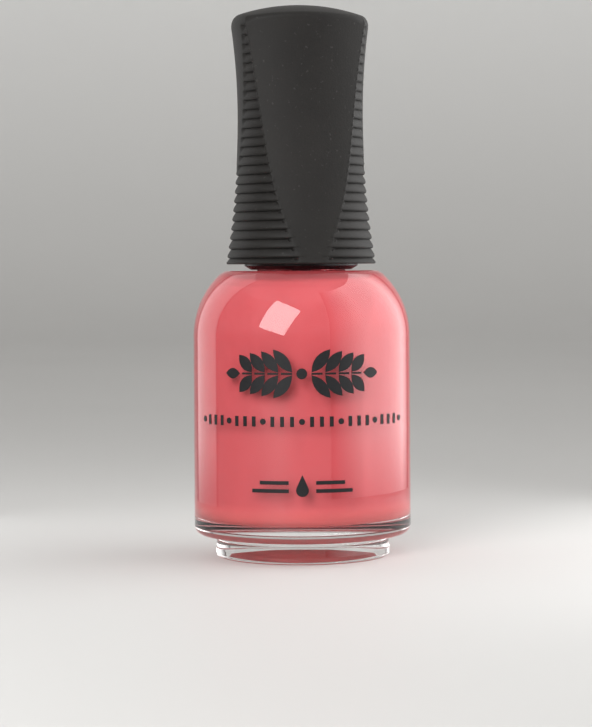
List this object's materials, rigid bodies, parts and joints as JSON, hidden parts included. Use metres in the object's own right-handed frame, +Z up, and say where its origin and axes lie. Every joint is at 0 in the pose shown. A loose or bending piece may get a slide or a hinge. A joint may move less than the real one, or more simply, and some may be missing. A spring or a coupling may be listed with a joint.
{
  "type": "nail polish bottle",
  "caption": "Round clear glass nail polish bottle on a stepped foot, full of coral lacquer, with a screw-on brush cap that has a flared black soft grip with ridged sides.",
  "frame": {"origin": "centre of the ring on the foot that the bottle stands on", "axes": "+Z up along the bottle's and the cap's common axis; the front, with the printed ornament, faces -Y; +X is to the right as seen from the front"},
  "size_m": [0.033, 0.0331, 0.0839],
  "materials": {
    "clear_glass": "clear flint glass, fire polished",
    "black_ink": "screen-printed ink",
    "coral_lacquer": "opaque cream lacquer, wet",
    "steel_ball": "polished steel",
    "liner_foam": "polyethylene liner",
    "inner_cap_black": "moulded polypropylene, satin",
    "shell_black": "moulded plastic",
    "grip_rubber": "soft-touch rubber, fine matte texture",
    "stem_black": "moulded polyethylene",
    "anchor_steel": "flat wire",
    "bristle_black": "nylon filaments"
  },
  "bodies": {
    "bottle": {"glass_bottle": "clear_glass", "printed_sprig": "black_ink", "printed_rule": "black_ink", "printed_drop": "black_ink", "lacquer": "coral_lacquer", "mixing_ball_1": "steel_ball", "mixing_ball_2": "steel_ball"},
    "seal": {"sealing_washer": "liner_foam"},
    "cap": {"inner_cap": "inner_cap_black", "overcap_shell": "shell_black", "rubber_grip": "grip_rubber", "brush_stem": "stem_black", "tuft_anchor": "anchor_steel", "bristle_tuft": "bristle_black"}
  },
  "joints": [
    {"name": "cap_lift", "type": "slide", "parent": "bottle", "child": "seal", "axis": [0, 0, 1], "range_m": [0, 0.06]},
    {"name": "cap_turn", "type": "hinge", "parent": "seal", "child": "cap", "pos_m": [0, 0, 0.0526], "axis": [0, 0, 1], "range_deg": [0, 630]}
  ]
}
